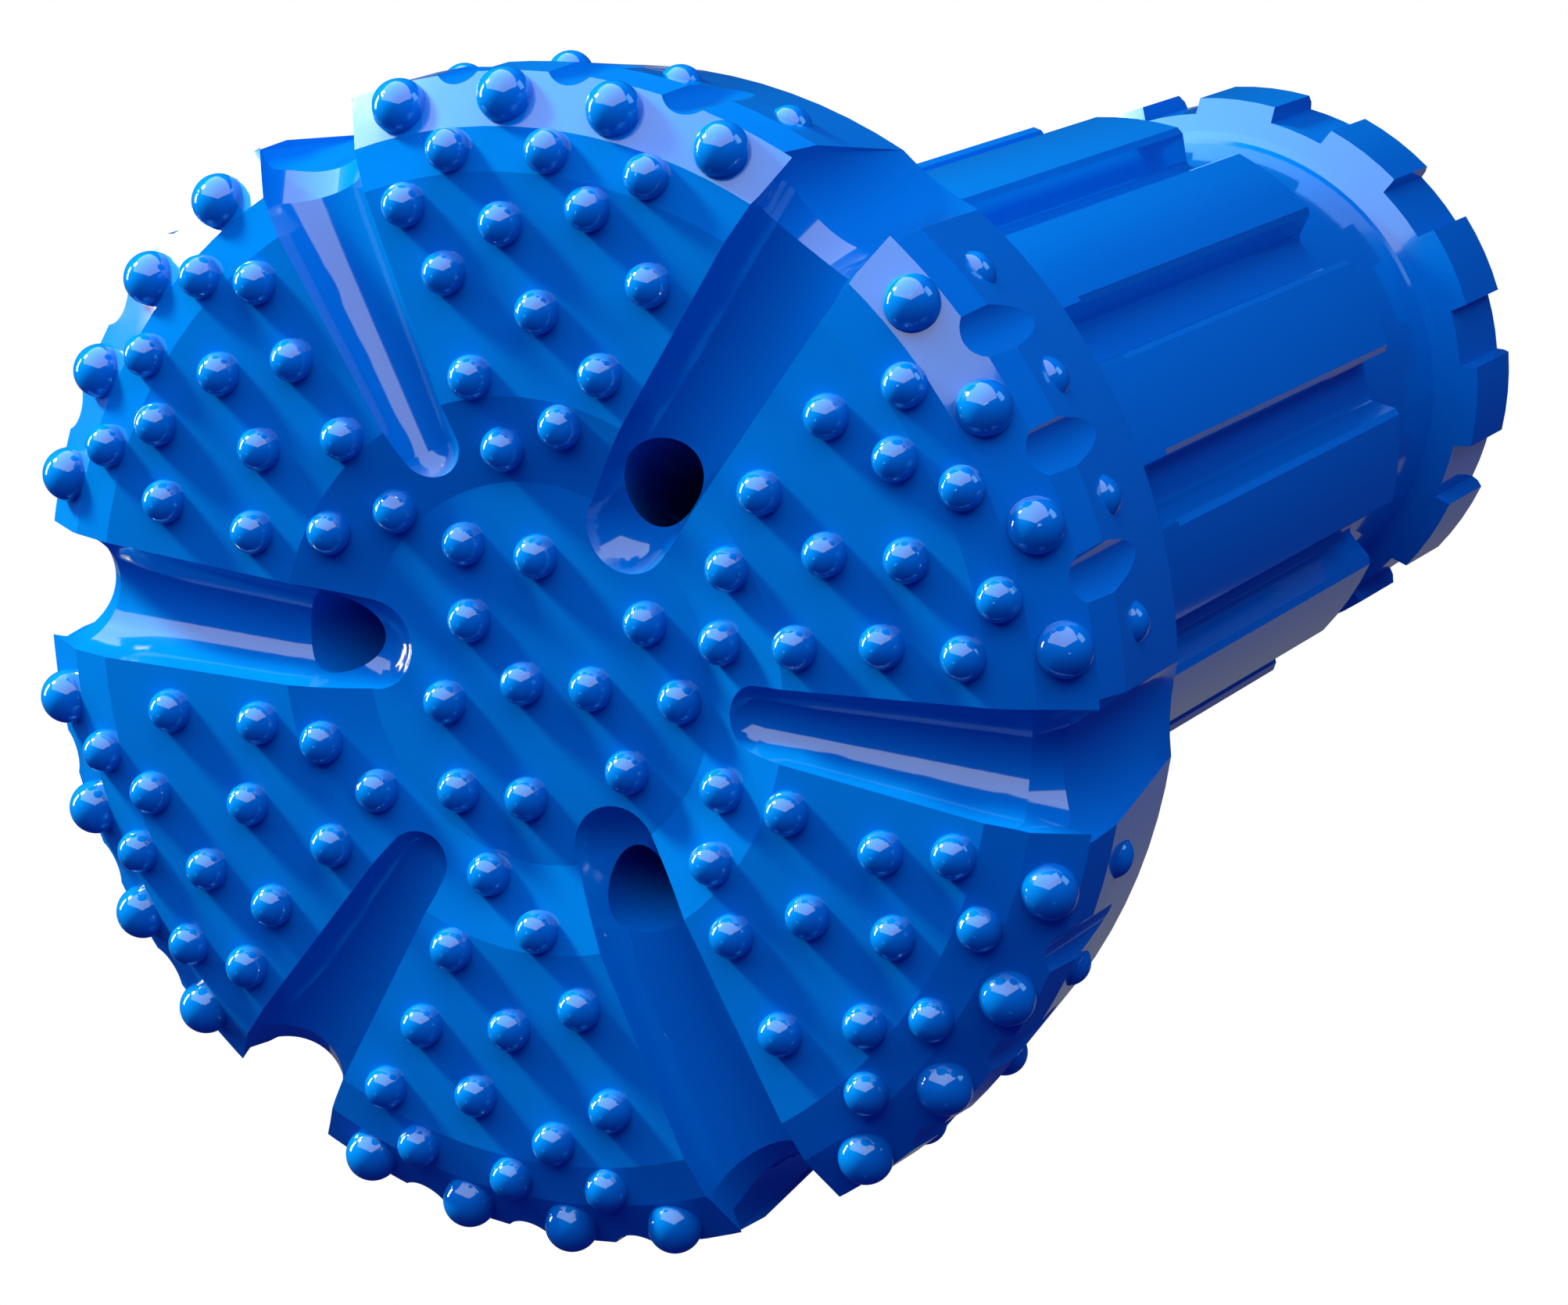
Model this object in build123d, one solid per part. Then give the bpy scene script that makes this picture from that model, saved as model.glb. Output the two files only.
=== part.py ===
from build123d import *
import math
import os

# Down-the-hole button bit, millimetres.
# The bit axis is Y: the cutting face looks towards -Y and the strike end towards +Y.
# The origin is the centre of the strike face, where the foot valve stands out.
# Parts are modelled about a working Z axis (cutting face at z = 0, shank towards +z), and
# laid_down() turns and moves them at the end.

# ---- head -------------------------------------------------------------------------------
gauge_diameter = 432.0
body_clearance = 1.3          # steel behind the gauge circle, per side
sector_count = 6
index_angle = 92.95           # azimuth of the first sector about the bit axis
overcut = 1.0                 # how far a cutting or trimming form runs past the steel

crown_flare = 0.8
gauge_bevel_width = 17.9
shoulder_width = 15.4
side_relief = 9.4             # how much narrower the head is at its back than at its crown
dish_floor_radius = 70.0
dish_rim_radius = 101.6

dish_depth = 7.0
shoulder_drop = 3.5
gauge_bevel_drop = 11.6
crown_band_height = 20.6
head_length = 103.6

crown_radius = gauge_diameter / 2 - body_clearance
gauge_rim_radius = crown_radius - crown_flare
shoulder_rim_radius = gauge_rim_radius - gauge_bevel_width
face_rim_radius = shoulder_rim_radius - shoulder_width
head_back_radius = crown_radius - side_relief
gauge_rim_z = shoulder_drop + gauge_bevel_drop
crown_z = gauge_rim_z + crown_band_height

# ---- buttons ----------------------------------------------------------------------------
face_button_diameter = 16.0
gauge_button_diameter = 20.0
button_grip = 17.0            # buried length of a button
button_stand_up = 1.2         # cylinder showing under the dome
drill_lead = 3.0
press_play = 0.02             # drawn play of a button in its hole, per side
hole_float = 0.3              # gap left under a seated button

gauge_ring_inset = 8.5
gauge_ring_radius = gauge_rim_radius - gauge_ring_inset
gauge_ring_angles = (-18.0, -6.0, 6.0, 18.0)
shoulder_ring_inset = 7.3
shoulder_ring_radius = shoulder_rim_radius - shoulder_ring_inset
shoulder_ring_angles = (-12.0, 0.0, 12.0)
side_button_diameter = 14.5
side_row_setback = 20.9
side_row_z = crown_z + side_row_setback
side_row_angles = (-18.3, -6.1, 6.1, 18.3)

# Radius and angle from the sector's middle, for the two sector patterns that alternate.
# The radii are for a face rim of layout_rim_radius and scale with the rim.
layout_rim_radius = 180.6
plain_sector_layout = (
    (172.1, -6.0), (172.6, 17.8), (159.0, -14.8), (160.1, 5.3), (142.6, 15.6),
    (131.4, 0.8), (120.9, -12.6), (109.2, 14.3), (93.5, -4.3), (78.3, 11.4),
)
spread_sector_layout = (
    (172.6, -18.7), (172.2, 6.0), (162.7, -5.7), (154.0, 16.1), (146.7, -15.1),
    (132.7, -0.2), (109.2, -14.0), (116.6, 12.5), (93.7, 5.7), (82.6, -10.3),
)
# Radius and angle from the first sector's middle.
centre_layout = (
    (53.5, 144.5), (43.5, 178.0), (32.0, 120.0), (50.5, 238.5), (40.0, 66.5), (6.5, 56.0),
    (22.5, 272.5), (58.0, 269.5), (48.0, 307.0), (56.5, 32.0), (46.0, 2.5),
)

# ---- scallops between the gauge buttons -----------------------------------------------
scallop_angles = (-12.0, 0.0, 12.0)
scallop_radius = 11.3
scallop_depth = 3.7
scallop_floor_radius = gauge_rim_radius - scallop_depth

# ---- face grooves, flushing holes and side slots --------------------------------------
# Each groove is a tapered round-nosed channel whose axis lies in the plane of the face.
groove_step = 30.0
flushed_grooves = (1, 3, 5)      # the grooves, counted round, that carry a flushing hole
flushed_groove_nose = 50.5
flushed_groove_radius = 18.0
flushed_groove_taper = 2.0
plain_groove_nose = 77.0
plain_groove_radius = 12.4
plain_groove_taper = 5.0
groove_overrun = 20.0
groove_reach = crown_radius + groove_overrun

slot_front_half_width = 25.5
slot_front_depth = 20.9
slot_front_floor = gauge_rim_radius - slot_front_depth
slot_back_half_width = 17.5
slot_back_depth = 2.3
slot_back_floor = head_back_radius - slot_back_depth

# A round channel at 45 degrees eases the corner where a groove's floor meets its slot's.
corner_channel_radius = 22.0
corner_channel_inset = 27.6
corner_channel_start = gauge_rim_radius - corner_channel_inset
corner_channel_depth = 21.0
corner_channel_lean = 45.0

flushing_hole_diameter = 30.0
flushing_hole_radius = 86.0
flushing_hole_depth = 18.0
flushing_hole_tilt = 25.0
hole_lead = 30.0

# ---- shank ------------------------------------------------------------------------------
overall_length = 690.5
spline_count = 12
spline_diameter = 265.0
spline_root_diameter = 231.0
spline_width = 42.8
spline_root_fillet = 3.0
spline_chamfer = 2.2
spline_chamfer_start = 280.0
spline_end_slope = 28.0
neck_diameter = 218.0
neck_length = 110.0
flange_length = 54.5
flange_front_slope = 29.0
flange_diameter = 252.4
flange_end_chamfer = 3.5
lug_gap_floor_diameter = 239.0
lug_width = 36.8
neck_edge_chamfer = 3.1
head_overlap = 10.0

flange_front_z = overall_length - flange_length
flange_back_z = overall_length - flange_end_chamfer
spline_end_z = flange_front_z - neck_length
head_overlap_z = head_length - head_overlap

# ---- air bore and foot valve ------------------------------------------------------------
air_bore_diameter = 66.0
air_bore_end_z = 168.0
bore_mouth_chamfer = 2.0
drill_point_angle = 118.0
foot_valve_outer = 50.0
foot_valve_inner = 38.0
foot_valve_length = 150.0
foot_valve_seat = 90.0
foot_valve_lead = 3.0
foot_valve_step = 10.0

# ---- worked-out sizes -------------------------------------------------------------------
gauge_radius = gauge_diameter / 2
sector_pitch = 360.0 / sector_count
side_taper = (crown_radius - head_back_radius) / (head_length - crown_z)

head_profile = (
    (0.0, dish_depth),
    (dish_floor_radius, dish_depth),
    (dish_rim_radius, 0.0),
    (face_rim_radius, 0.0),
    (shoulder_rim_radius, shoulder_drop),
    (gauge_rim_radius, gauge_rim_z),
    (crown_radius, crown_z),
    (head_back_radius, head_length),
)


from_below = (Align.CENTER, Align.CENTER, Align.MIN)


def at_azimuth(angle):
    """A frame turned about the bit axis, its X pointing outwards at the angle."""
    return Rot(0, 0, index_angle + angle)


def revolved(points):
    """A solid of revolution about Z from points (radius, z)."""
    outline = Polyline(*[(radius, 0, z) for radius, z in points], close=True)
    return revolve(make_face(outline), Axis.Z)


def ring_seat(radius):
    """Where a button of the cutting face sits: the height and lean of the steel there."""
    for (r0, z0), (r1, z1) in zip(head_profile[:-1], head_profile[1:]):
        if r0 <= radius <= r1:
            slope = (z1 - z0) / (r1 - r0)
            return z0 + slope * (radius - r0), math.degrees(math.atan(slope))
    raise ValueError("no seat at this radius")


def laid_out(layout, middle):
    """The frames of the face buttons in a layout turned to a sector's middle."""
    scale = face_rim_radius / layout_rim_radius
    return [seat_on_face(radius * scale, middle + angle) for radius, angle in layout]


def seat_on_face(radius, angle):
    """The frame of a face button: Z points out of the steel."""
    z, lean = ring_seat(radius)
    return at_azimuth(angle) * Pos(radius, 0, z) * Rot(0, 180 - lean, 0)


def side_surface_radius(z):
    """The radius of the tapered side at a height behind the crown."""
    return crown_radius - side_taper * (z - crown_z)


def seat_on_side(z, angle):
    """The frame of a button in the head's side: Z points out of the steel."""
    lean = math.degrees(math.atan(side_taper))
    return at_azimuth(angle) * Pos(side_surface_radius(z), 0, z) * Rot(0, 90 - lean, 0)


def button(diameter, stand_up, dome_height):
    """A domed button, its seat plane at z = 0 and its grip below."""
    half = diameter / 2
    crown = (half**2 + dome_height**2) / (2 * dome_height)
    top = stand_up + dome_height
    slant = math.atan2(half, crown - dome_height) / 2
    middle = (crown * math.sin(slant), 0, top - crown + crown * math.cos(slant))
    outline = Polyline(
        (0, 0, top), (0, 0, -button_grip), (half, 0, -button_grip), (half, 0, stand_up)
    )
    dome = ThreePointArc((half, 0, stand_up), middle, (0, 0, top))
    return revolve(make_face(outline + dome), Axis.Z)


def button_hole(diameter):
    """The drilled seat of a button, open above the steel."""
    depth = button_grip + hole_float
    drill = Cylinder(diameter / 2 + press_play, depth + drill_lead, align=from_below)
    return Pos(0, 0, -depth) * drill


def button_seats():
    """Every button's frame, keyed by the name of its row."""
    rows = {"centre_buttons": laid_out(centre_layout, 0)}
    for index in range(sector_count):
        middle = index * sector_pitch
        layout = spread_sector_layout if index % 2 else plain_sector_layout
        name = index + 1
        rows[f"face_buttons_{name}"] = laid_out(layout, middle)
        rows[f"shoulder_buttons_{name}"] = [
            seat_on_face(shoulder_ring_radius, middle + a) for a in shoulder_ring_angles
        ]
        rows[f"gauge_buttons_{name}"] = [
            seat_on_face(gauge_ring_radius, middle + a) for a in gauge_ring_angles
        ]
        rows[f"side_buttons_{name}"] = [seat_on_side(side_row_z, middle + a) for a in side_row_angles]
    return rows


def button_size(row):
    """Diameter, stand-up and dome height of a row's buttons."""
    if row.startswith("gauge"):
        return gauge_button_diameter, button_stand_up, gauge_button_diameter / 2
    if row.startswith("side"):
        reach = gauge_radius - side_surface_radius(side_row_z)
        return side_button_diameter, 0.0, reach
    return face_button_diameter, button_stand_up, face_button_diameter / 2


def groove(nose, radius, taper):
    """A tapered round-nosed channel lying along X in the face plane."""
    lean = math.radians(taper)
    centre = nose + radius
    run = groove_reach - centre
    tangent = (centre - radius * math.sin(lean), radius * math.cos(lean))
    end_radius = radius / math.cos(lean) + run * math.tan(lean)
    nose_middle = (90 + taper) / 2
    middle = (
        centre - radius * math.cos(math.radians(nose_middle)),
        radius * math.sin(math.radians(nose_middle)),
    )
    arc = ThreePointArc((nose, 0, 0), (middle[0], 0, middle[1]), (tangent[0], 0, tangent[1]))
    rest = Polyline(
        (tangent[0], 0, tangent[1]), (groove_reach, 0, end_radius), (groove_reach, 0, 0), (nose, 0, 0)
    )
    return revolve(make_face(arc + rest), Axis.X)


def slot_section(z, half_width, floor_radius, surface_radius):
    """The outline of a side slot at one height: a dished floor, open outwards."""
    edge = math.sqrt(surface_radius**2 - half_width**2)
    floor = ThreePointArc((edge, -half_width, z), (floor_radius, 0, z), (edge, half_width, z))
    walls = Polyline(
        (edge, half_width, z), (groove_reach, half_width, z), (groove_reach, -half_width, z),
        (edge, -half_width, z),
    )
    return make_face(floor + walls)


def corner_channel():
    """The round channel that eases the corner between a groove's floor and its slot."""
    floor = Pos(corner_channel_start, 0, corner_channel_depth) * Rot(0, corner_channel_lean, 0)
    return floor * Pos(corner_channel_radius, 0, 0) * Cylinder(corner_channel_radius, groove_reach)


def side_slot():
    """A slot down the head's side, deep at the groove and running out at the back."""
    front = slot_section(gauge_rim_z, slot_front_half_width, slot_front_floor, gauge_rim_radius)
    back = slot_section(head_length, slot_back_half_width, slot_back_floor, head_back_radius)
    return loft([front, back], ruled=True)


def splined_bar(radii, width, root_fillet, edge_chamfer, start, end):
    """A bar with splines or lugs spaced evenly round it; radii are its core's and its crests'."""
    core, crest = radii
    ridge = Pos(crest / 2, 0) * Rectangle(crest + overcut, width)
    star = Circle(core) + PolarLocations(0, spline_count, start_angle=index_angle) * ridge
    section = star & Circle(crest)
    if root_fillet:
        roots = section.vertices().filter_by(lambda corner: corner.center().length < core + overcut)
        section = fillet(roots, root_fillet)
    if edge_chamfer:
        crests = section.vertices().filter_by(lambda corner: corner.center().length > crest - overcut)
        section = chamfer(crests, edge_chamfer)
    return Pos(0, 0, start) * extrude(section, end - start)


def splines():
    """The drive splines, their far edges eased and their ends sloped down to the neck."""
    drop = math.tan(math.radians(spline_end_slope))
    radii = (spline_root_diameter / 2, spline_diameter / 2)
    neck, crest = neck_diameter / 2, spline_diameter / 2
    end = spline_end_z + (crest - neck) * drop
    sharp = splined_bar(radii, spline_width, spline_root_fillet, 0, head_overlap_z, spline_chamfer_start)
    eased = splined_bar(
        radii, spline_width, spline_root_fillet, spline_chamfer, spline_chamfer_start, end
    )
    wide = crest + overcut
    end_cone = revolved([
        (0, head_overlap_z), (wide, head_overlap_z), (wide, end - (wide - neck) * drop), (neck, end),
        (0, end),
    ])
    return (sharp + eased) & end_cone


def flange():
    """The lugged flange at the strike end, its front a cone and its back edge chamfered."""
    rise = math.tan(math.radians(flange_front_slope))
    neck, rim = neck_diameter / 2, flange_diameter / 2
    start = neck + neck_edge_chamfer
    wide = rim + overcut
    radii = (lug_gap_floor_diameter / 2, rim)
    lugs = splined_bar(radii, lug_width, 0, 0, flange_front_z - neck_edge_chamfer, overall_length)
    form = revolved([
        (0, flange_front_z - neck_edge_chamfer), (neck, flange_front_z - neck_edge_chamfer),
        (start, flange_front_z), (wide, flange_front_z + (wide - start) * rise),
        (wide, flange_back_z - overcut), (rim - flange_end_chamfer, overall_length), (0, overall_length),
    ])
    return lugs & form


def shank():
    """Splines, retainer neck and the lugged flange at the strike end."""
    neck = Pos(0, 0, spline_end_z) * Cylinder(neck_diameter / 2, neck_length, align=from_below)
    return splines() + neck + flange()


def head():
    """The cutting head: face, gauge and side, with its scallops, grooves and slots."""
    blank = revolved(list(head_profile) + [(spline_root_diameter / 2, head_length), (0, head_length)])
    cutter = Cylinder(scallop_radius, 2 * head_length)
    scallop = Pos(scallop_floor_radius + scallop_radius, 0, 0) * cutter
    cuts = []
    for index in range(sector_count):
        middle = index * sector_pitch
        cuts += [at_azimuth(middle + angle) * scallop for angle in scallop_angles]
        place = at_azimuth(middle + groove_step)
        if index in flushed_grooves:
            cuts.append(place * groove(flushed_groove_nose, flushed_groove_radius, flushed_groove_taper))
        else:
            cuts.append(place * groove(plain_groove_nose, plain_groove_radius, plain_groove_taper))
        cuts += [place * side_slot(), place * corner_channel()]
    return blank - cuts


def air_bore():
    """The central bore, with its drill point and chamfered mouth."""
    radius = air_bore_diameter / 2
    point = radius / math.tan(math.radians(drill_point_angle / 2))
    wide = radius + 2 * bore_mouth_chamfer
    return revolved([
        (0, air_bore_end_z - point), (radius, air_bore_end_z),
        (radius, overall_length - bore_mouth_chamfer), (wide, overall_length + bore_mouth_chamfer),
        (0, overall_length + bore_mouth_chamfer),
    ])


def flushing_hole():
    """A hole leaning from a groove's floor back to the end of the air bore."""
    length = flushing_hole_radius / math.sin(math.radians(flushing_hole_tilt))
    hole = Cylinder(flushing_hole_diameter / 2, length + hole_lead, align=from_below)
    drilled = Pos(flushing_hole_radius, 0, flushing_hole_depth) * Rot(0, -flushing_hole_tilt, 0)
    return drilled * Pos(0, 0, -hole_lead) * hole


def air_passages():
    """The air bore and the flushing holes that leave it."""
    grooves = [at_azimuth(index * sector_pitch + groove_step) for index in flushed_grooves]
    return [air_bore()] + [place * flushing_hole() for place in grooves]


def bit_body(rows):
    """The forged body, drilled for its buttons and its air."""
    body = head() + shank() - air_passages()
    holes = []
    for row, seats in rows.items():
        hole = button_hole(button_size(row)[0])
        holes += [seat * hole for seat in seats]
    return body - holes


def foot_valve():
    """The exhaust tube pressed into the mouth of the air bore."""
    seat_radius = air_bore_diameter / 2 - press_play
    start = overall_length - foot_valve_seat
    end = start + foot_valve_length
    nose = foot_valve_outer / 2
    bore = foot_valve_inner / 2
    return revolved([
        (bore, start), (seat_radius - foot_valve_lead, start), (seat_radius, start + 2 * foot_valve_lead),
        (seat_radius, overall_length - foot_valve_step), (nose, overall_length - foot_valve_lead),
        (nose, end - foot_valve_lead), (nose - foot_valve_lead, end), (bore, end),
    ])


def laid_down(shape):
    """Turns the bit axis onto +Y, with the strike face in the plane Y = 0."""
    return Pos(0, -overall_length, 0) * Rot(-90, 0, 0) * shape


def write(name, shape):
    """One STEP file for one node."""
    export_step(laid_down(shape), os.path.join("parts", name + ".step"))


os.makedirs("parts", exist_ok=True)
rows = button_seats()
write("bit_body", bit_body(rows))
write("foot_valve", foot_valve())
for row, seats in rows.items():
    piece = button(*button_size(row))
    write(row, Compound([seat * piece for seat in seats]))
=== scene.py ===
import math

import bmesh
import bpy
from bpy.props import FloatProperty, FloatVectorProperty
from mathutils import Matrix, Vector


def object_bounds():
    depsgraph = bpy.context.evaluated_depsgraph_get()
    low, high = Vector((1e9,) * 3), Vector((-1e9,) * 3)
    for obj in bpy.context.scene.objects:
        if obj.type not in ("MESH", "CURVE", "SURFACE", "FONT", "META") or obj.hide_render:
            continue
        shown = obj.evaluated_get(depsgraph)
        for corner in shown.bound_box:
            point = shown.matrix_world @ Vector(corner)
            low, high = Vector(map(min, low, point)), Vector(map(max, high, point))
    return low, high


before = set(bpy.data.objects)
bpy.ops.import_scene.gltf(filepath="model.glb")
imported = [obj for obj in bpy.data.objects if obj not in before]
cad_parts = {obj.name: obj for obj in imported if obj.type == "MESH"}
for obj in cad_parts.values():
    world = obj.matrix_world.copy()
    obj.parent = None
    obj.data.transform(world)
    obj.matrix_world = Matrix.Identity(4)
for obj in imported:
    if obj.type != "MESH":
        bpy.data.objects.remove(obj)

bl_info = {
    "name": "Down-the-hole button bit",
    "version": (1, 0, 0),
    "blender": (4, 5, 0),
    "location": "3D View > Sidebar > Button bit",
    "description": "Finishes, studio and camera for a forged hammer bit with pressed-in buttons",
    "category": "Object",
}

CAD_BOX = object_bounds()
LOW = CAD_BOX[0]
FACE_CENTRE = Vector((0.0, LOW.y + 0.01, 0.0))


def rows(*kinds):
    """The names of the button rows of these kinds."""
    return tuple(sorted(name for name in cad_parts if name.startswith(kinds)))


FACE_ROWS = rows("centre", "face", "shoulder")
GAUGE_ROWS = rows("gauge")
SIDE_ROWS = rows("side")


# ---- settings ---------------------------------------------------------------------------
class BitFinish(bpy.types.PropertyGroup):
    """Colours and surfaces of the bit."""

    paint: FloatVectorProperty(
        name="Paint", description="Colour of the finish on body and buttons", subtype="COLOR",
        size=3, min=0, max=1, default=(0.0, 0.13, 0.62),
    )
    body_roughness: FloatProperty(
        name="Body roughness", description="Surface roughness of the forged body",
        subtype="FACTOR", min=0, max=1, default=0.1,
    )
    button_roughness: FloatProperty(
        name="Button roughness", description="Surface roughness of the domed buttons",
        subtype="FACTOR", min=0, max=1, default=0.07,
    )
    coat: FloatProperty(
        name="Coat", description="Strength of the clear coat", subtype="FACTOR", min=0, max=1,
        default=0.5,
    )
    valve: FloatVectorProperty(
        name="Foot valve", description="Colour of the plastic exhaust tube", subtype="COLOR",
        size=3, min=0, max=1, default=(0.55, 0.53, 0.48),
    )
    valve_roughness: FloatProperty(
        name="Foot valve roughness", description="Surface roughness of the plastic exhaust tube",
        subtype="FACTOR", min=0, max=1, default=0.45,
    )


class BitStage(bpy.types.PropertyGroup):
    """Studio light, floor and camera."""

    ambient: FloatVectorProperty(
        name="Ambient", description="Colour of the dim surroundings", subtype="COLOR", size=3,
        min=0, max=1, default=(0.006, 0.022, 0.18),
    )
    camera_place: FloatVectorProperty(
        name="Camera place", description="Where the camera stands", subtype="TRANSLATION",
        unit="LENGTH", size=3, default=(0.8647, -2.1870, 0.4473),
    )
    camera_pitch: FloatProperty(
        name="Camera pitch", description="How far the camera looks down", subtype="ANGLE",
        default=math.radians(14.2217),
    )
    camera_turn: FloatProperty(
        name="Camera turn", description="Camera heading, counted to the left of +Y",
        subtype="ANGLE", default=math.radians(27.0095),
    )
    camera_lens: FloatProperty(
        name="Lens", description="Focal length in millimetres on a 36 mm sensor", min=10, max=400,
        default=115.75,
    )
    floor_drop: FloatProperty(
        name="Floor drop", description="How far the floor lies below the bit", unit="LENGTH",
        min=0, default=2.5,
    )


# ---- shader maths -----------------------------------------------------------------------
class Wire:
    """A socket that takes part in sums and products, each of which adds its Math node."""

    def __init__(self, tree, socket):
        self.tree = tree
        self.socket = socket

    def maths(self, operation, a, b):
        return make(self.tree, "Math", {"operation": operation}, {0: a, 1: b})

    def __add__(self, other):
        return self.maths("ADD", self, other)

    def __mul__(self, other):
        return self.maths("MULTIPLY", self, other)

    __radd__ = __add__
    __rmul__ = __mul__


def make(tree, kind, settings, sockets, output=0):
    """Adds a node, its settings first and then its values and links; returns one output."""
    node = tree.nodes.new("ShaderNode" + kind)
    for name, value in settings.items():
        setattr(node, name, value)
    for key, value in sockets.items():
        if isinstance(value, Wire):
            tree.links.new(value.socket, node.inputs[key])
        else:
            node.inputs[key].default_value = value
    return Wire(tree, node.outputs[output]) if node.outputs else None


def emptied(owner):
    """The node tree of a new material or world, with nothing in it."""
    owner.use_nodes = True
    owner.node_tree.nodes.clear()
    return owner.node_tree


# ---- finishes ---------------------------------------------------------------------------
TONE = (0.97, 0.06)               # the colour's least brightness, and what the noise adds
POLISH = (-0.02, 0.04)            # the roughness's least change, and what the noise adds
NOISE_DETAIL = 3.0
PAINT_IOR = 1.5
COAT_ROUGHNESS = 0.03


def finished(name, colour, roughness, coat, noise_scale):
    """A smooth surface with faint unevenness in tone and in polish."""
    material = bpy.data.materials.new(name)
    tree = emptied(material)
    where = make(tree, "TexCoord", {}, {}, "Object")
    cloud = make(
        tree, "TexNoise", {}, {"Vector": where, "Scale": noise_scale, "Detail": NOISE_DETAIL}
    )
    tone = TONE[0] + TONE[1] * cloud
    shade = make(
        tree, "Mix", {"data_type": "RGBA", "blend_type": "MULTIPLY"},
        {0: 1.0, 6: (*colour, 1.0), 7: tone}, 2,
    )
    surface = make(tree, "BsdfPrincipled", {}, {
        "Base Color": shade,
        "Roughness": roughness + POLISH[0] + POLISH[1] * cloud,
        "Metallic": 0.0,
        "IOR": PAINT_IOR,
        "Coat Weight": coat,
        "Coat Roughness": COAT_ROUGHNESS,
    })
    make(tree, "OutputMaterial", {}, {"Surface": surface})
    return material


def dress(nodes, material):
    """Gives CAD nodes their material."""
    for name in nodes:
        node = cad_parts[name]
        node.data.materials.clear()
        node.data.materials.append(material)


def paint_buttons(finish, name, nodes, noise_scale):
    """Paints rows of buttons, which are smoother than the forging."""
    paint = finished(name, finish.paint, finish.button_roughness, finish.coat, noise_scale)
    dress(nodes, paint)


# ---- one operator per group of pieces ---------------------------------------------------
class BIT_OT_body(bpy.types.Operator):
    """Paints the forged body."""

    bl_idname = "bit.body"
    bl_label = "Forged body"

    def execute(self, context):
        finish = context.scene.bit_finish
        paint = finished("paint_body", finish.paint, finish.body_roughness, finish.coat, 9.0)
        dress(("bit_body",), paint)
        return {"FINISHED"}


class BIT_OT_face_buttons(bpy.types.Operator):
    """Paints the buttons of the cutting face: centre, face and shoulder rows."""

    bl_idname = "bit.face_buttons"
    bl_label = "Face buttons"

    def execute(self, context):
        paint_buttons(context.scene.bit_finish, "paint_face_buttons", FACE_ROWS, 60.0)
        return {"FINISHED"}


class BIT_OT_gauge_buttons(bpy.types.Operator):
    """Paints the gauge buttons."""

    bl_idname = "bit.gauge_buttons"
    bl_label = "Gauge buttons"

    def execute(self, context):
        paint_buttons(context.scene.bit_finish, "paint_gauge_buttons", GAUGE_ROWS, 50.0)
        return {"FINISHED"}


class BIT_OT_side_buttons(bpy.types.Operator):
    """Paints the low buttons in the head's side."""

    bl_idname = "bit.side_buttons"
    bl_label = "Side buttons"

    def execute(self, context):
        paint_buttons(context.scene.bit_finish, "paint_side_buttons", SIDE_ROWS, 60.0)
        return {"FINISHED"}


class BIT_OT_foot_valve(bpy.types.Operator):
    """Finishes the plastic foot valve, which has no coat."""

    bl_idname = "bit.foot_valve"
    bl_label = "Foot valve"

    def execute(self, context):
        finish = context.scene.bit_finish
        plastic = finished("plastic_valve", finish.valve, finish.valve_roughness, 0.0, 30.0)
        dress(("foot_valve",), plastic)
        return {"FINISHED"}


# ---- stage ------------------------------------------------------------------------------
# Name, centre and the two side vectors in metres, seen from the cutting face; watts; colour.
LAMPS = (
    ("ceiling_box", (0.04, -0.68, 1.40), (0.93, 2.53, 0.55), (-3.20, 1.17, 0.01),
     76.0, (0.95, 1.0, 0.9)),
    ("key", (-2.24, -0.50, 1.93), (0.3, 0.08, 0.36), (0.0, 0.44, -0.11),
     290.0, (0.85, 1.0, 0.5)),
    ("side_strip", (-2.88, -0.36, 0.57), (0.1, 0.5, 0.0), (0.3, 0.1, 1.5),
     50.0, (0.95, 0.9, 0.88)),
    ("right_fill", (2.4, 1.1, 1.9), (0.5, -1.3, 0.0), (-0.9, -0.3, 1.1),
     20.0, (0.4, 0.88, 1.0)),
)

FLOOR_NEAR, FLOOR_FAR, FLOOR_HALF_WIDTH = 3.8, 40.0, 5.0
FLOOR_GREY = (0.4, 0.04)          # the floor's least grey, and what the noise adds
FLOOR_NOISE_SCALE = 0.5
FLOOR_ROUGHNESS = 0.9
FLOOR_GLOW = 0.1                  # how much of the white a reflection of the floor shows
BACKDROP_GLOW = 0.3               # the same for the white backdrop
BACKDROP_COSINE = 0.978           # the backdrop fills this cone about the camera's heading
WHITE = {"Color": (1.0, 1.0, 1.0, 1.0), "Strength": 1.0}


def add_object(name, data):
    """A new object in the scene."""
    thing = bpy.data.objects.new(name, data)
    bpy.context.scene.collection.objects.link(thing)
    return thing


def soft_lamp(name, centre, side_a, side_b, power, colour):
    """A soft rectangular lamp spanned by two side vectors and facing the bit."""
    light = bpy.data.lights.new(name, "AREA")
    light.shape = "RECTANGLE"
    light.size, light.size_y = Vector(side_a).length, Vector(side_b).length
    light.energy = power
    light.color = colour
    x = Vector(side_a).normalized()
    z = x.cross(Vector(side_b)).normalized()
    if z.dot(Vector(centre)) < 0:
        z = -z
    turn = Matrix((x, z.cross(x), z)).transposed().to_4x4()
    lamp = add_object(name, light)
    lamp.matrix_world = Matrix.Translation(FACE_CENTRE + Vector(centre)) @ turn
    return lamp


def light_path(tree):
    """1 where a ray comes from the camera, from a reflection, or through glass."""
    return [make(tree, "LightPath", {}, {}, f"Is {kind} Ray")
            for kind in ("Camera", "Glossy", "Transmission")]


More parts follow.
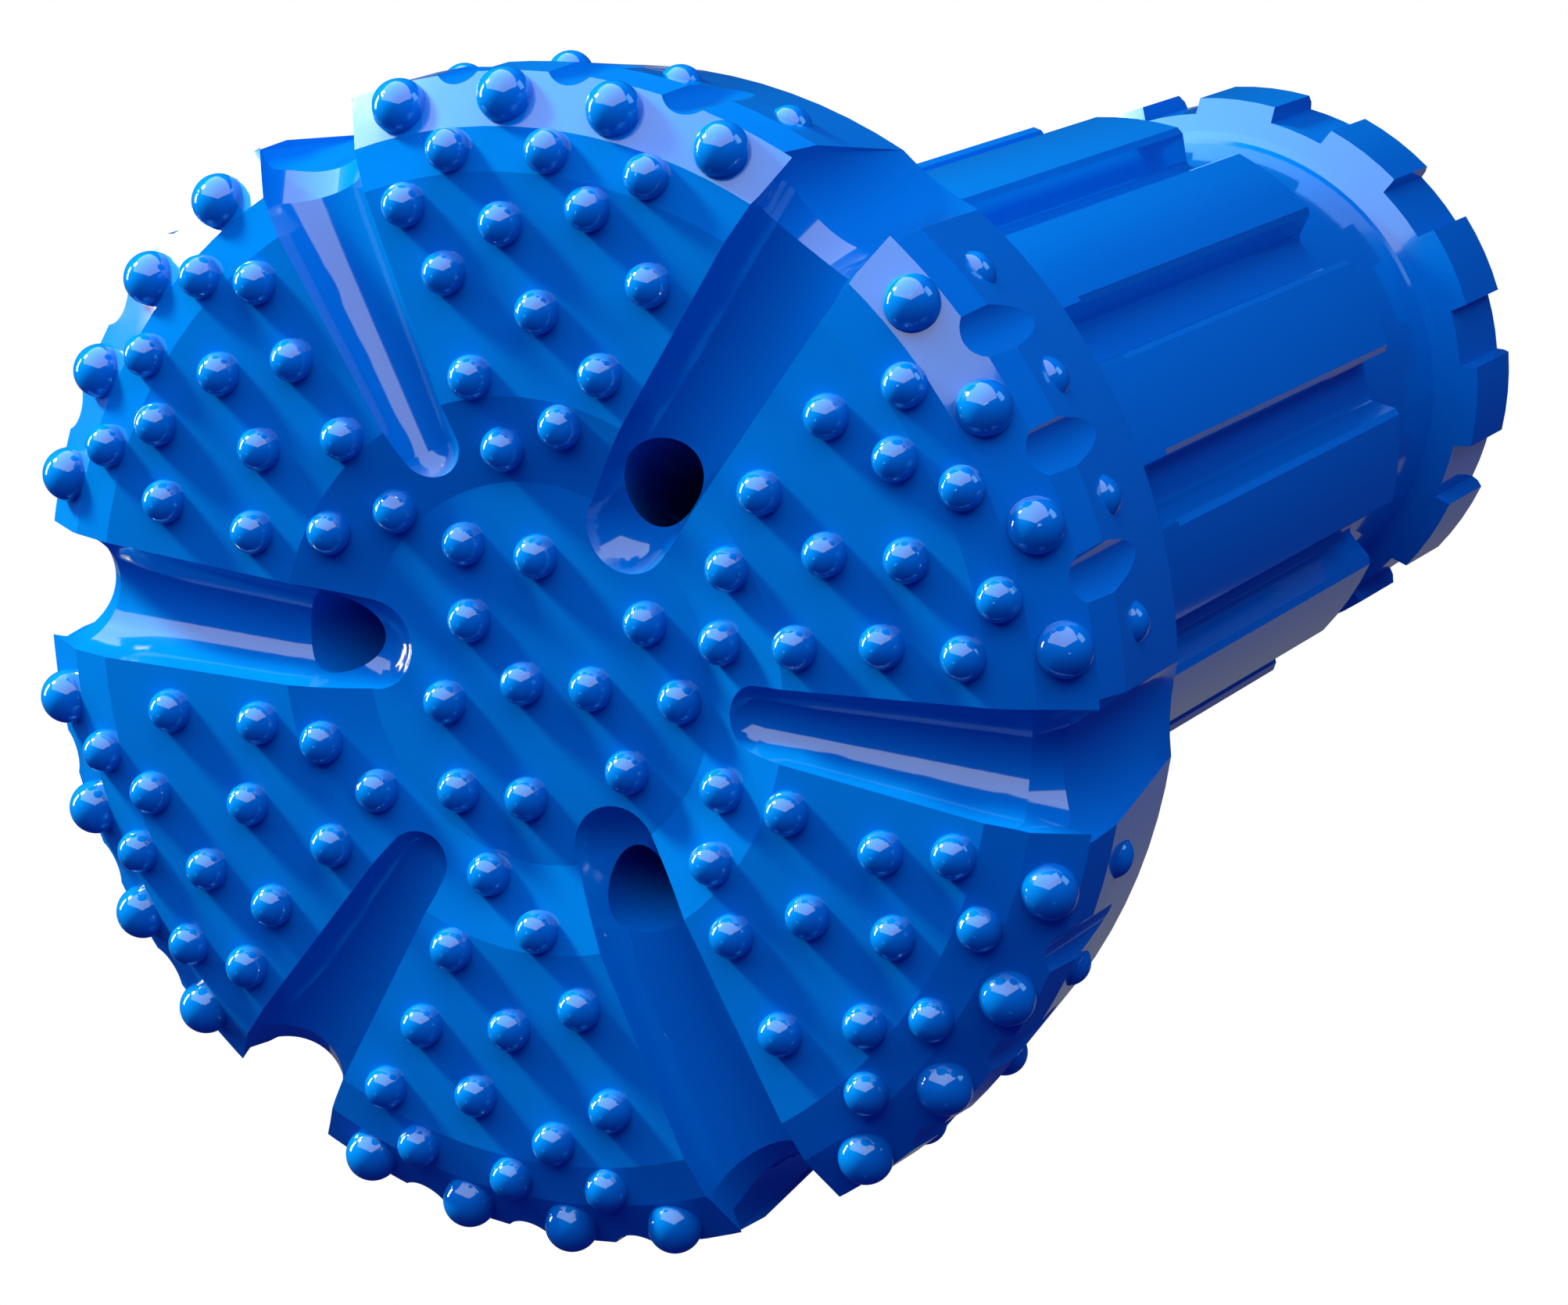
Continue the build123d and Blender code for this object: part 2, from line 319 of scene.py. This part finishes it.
def pale_floor(drop, turn):
    """A plain pale sheet below and behind the bit, white to the eye."""
    sheet = bmesh.new()
    corners = (
        (-FLOOR_HALF_WIDTH, FLOOR_NEAR), (FLOOR_HALF_WIDTH, FLOOR_NEAR),
        (FLOOR_HALF_WIDTH, FLOOR_FAR), (-FLOOR_HALF_WIDTH, FLOOR_FAR),
    )
    sheet.faces.new([sheet.verts.new((x, y, 0.0)) for x, y in corners])
    mesh = bpy.data.meshes.new("floor")
    sheet.to_mesh(mesh)
    sheet.free()
    floor = add_object("floor", mesh)
    floor.location = (0.0, 0.0, LOW.z - drop)
    floor.rotation_euler = (0.0, 0.0, turn)
    material = bpy.data.materials.new("pale_floor")
    mesh.materials.append(material)
    tree = emptied(material)
    where = make(tree, "TexCoord", {}, {}, "Object")
    cloud = make(tree, "TexNoise", {}, {"Vector": where, "Scale": FLOOR_NOISE_SCALE})
    grey = FLOOR_GREY[0] + FLOOR_GREY[1] * cloud
    lit = make(tree, "BsdfPrincipled", {}, {"Base Color": grey, "Roughness": FLOOR_ROUGHNESS})
    white = make(tree, "Emission", {}, WHITE)
    camera, glossy, through = light_path(tree)
    seen = camera + through + FLOOR_GLOW * glossy
    both = make(tree, "MixShader", {}, {0: seen, 1: lit, 2: white})
    make(tree, "OutputMaterial", {}, {"Surface": both})
    return floor


def surroundings(ambient, heading):
    """Dim surroundings, with a white backdrop for the eye and for reflections of it."""
    world = bpy.data.worlds.new("studio")
    bpy.context.scene.world = world
    tree = emptied(world)
    dim = make(tree, "Background", {}, {"Color": (*ambient, 1.0), "Strength": 1.0})
    white = make(tree, "Background", {}, WHITE)
    towards = make(tree, "TexCoord", {}, {}, "Generated")
    facing = make(tree, "VectorMath", {"operation": "DOT_PRODUCT"}, {0: towards, 1: heading}, 1)
    backdrop = make(tree, "Math", {"operation": "GREATER_THAN"}, {0: facing, 1: BACKDROP_COSINE})
    camera, glossy, through = light_path(tree)
    seen = camera + through + BACKDROP_GLOW * (glossy * backdrop)
    both = make(tree, "MixShader", {}, {0: seen, 1: dim, 2: white})
    make(tree, "OutputWorld", {}, {"Surface": both})


def photo_camera(stage):
    """The camera at the photo's angle."""
    data = bpy.data.cameras.new("camera")
    data.lens = stage.camera_lens
    data.sensor_width = 36.0
    camera = add_object("camera", data)
    camera.location = stage.camera_place
    camera.rotation_euler = (math.pi / 2 - stage.camera_pitch, 0.0, stage.camera_turn)
    return camera


class BIT_OT_stage(bpy.types.Operator):
    """Sets up the floor, the studio light and the camera."""

    bl_idname = "bit.stage"
    bl_label = "Stage"

    def execute(self, context):
        scene = context.scene
        stage = scene.bit_stage
        things = [soft_lamp(*row) for row in LAMPS]
        things.append(pale_floor(stage.floor_drop, stage.camera_turn))
        camera = photo_camera(stage)
        scene.camera = camera
        surroundings(stage.ambient, camera.rotation_euler.to_matrix() @ Vector((0.0, 0.0, -1.0)))
        scene.view_settings.view_transform = "Standard"
        return {"FINISHED"}


STEPS = (BIT_OT_body, BIT_OT_face_buttons, BIT_OT_gauge_buttons, BIT_OT_side_buttons,
         BIT_OT_foot_valve, BIT_OT_stage)


class BIT_PT_panel(bpy.types.Panel):
    """Lists the settings, the pieces and the stage."""

    bl_idname = "BIT_PT_panel"
    bl_label = "Button bit"
    bl_space_type = "VIEW_3D"
    bl_region_type = "UI"
    bl_category = "Button bit"

    def draw(self, context):
        for group in (context.scene.bit_finish, context.scene.bit_stage):
            for name in group.__annotations__:
                self.layout.prop(group, name)
        for step in STEPS:
            self.layout.operator(step.bl_idname)


CLASSES = (BitFinish, BitStage, *STEPS, BIT_PT_panel)


def register():
    for kind in CLASSES:
        bpy.utils.register_class(kind)
    bpy.types.Scene.bit_finish = bpy.props.PointerProperty(type=BitFinish)
    bpy.types.Scene.bit_stage = bpy.props.PointerProperty(type=BitStage)


def unregister():
    del bpy.types.Scene.bit_finish
    del bpy.types.Scene.bit_stage
    for kind in reversed(CLASSES):
        bpy.utils.unregister_class(kind)


def main():
    """Builds the pieces in order, then the stage."""
    register()
    for step in STEPS:
        getattr(bpy.ops.bit, step.bl_idname.partition(".")[2])()


if __name__ == "__main__":
    main()
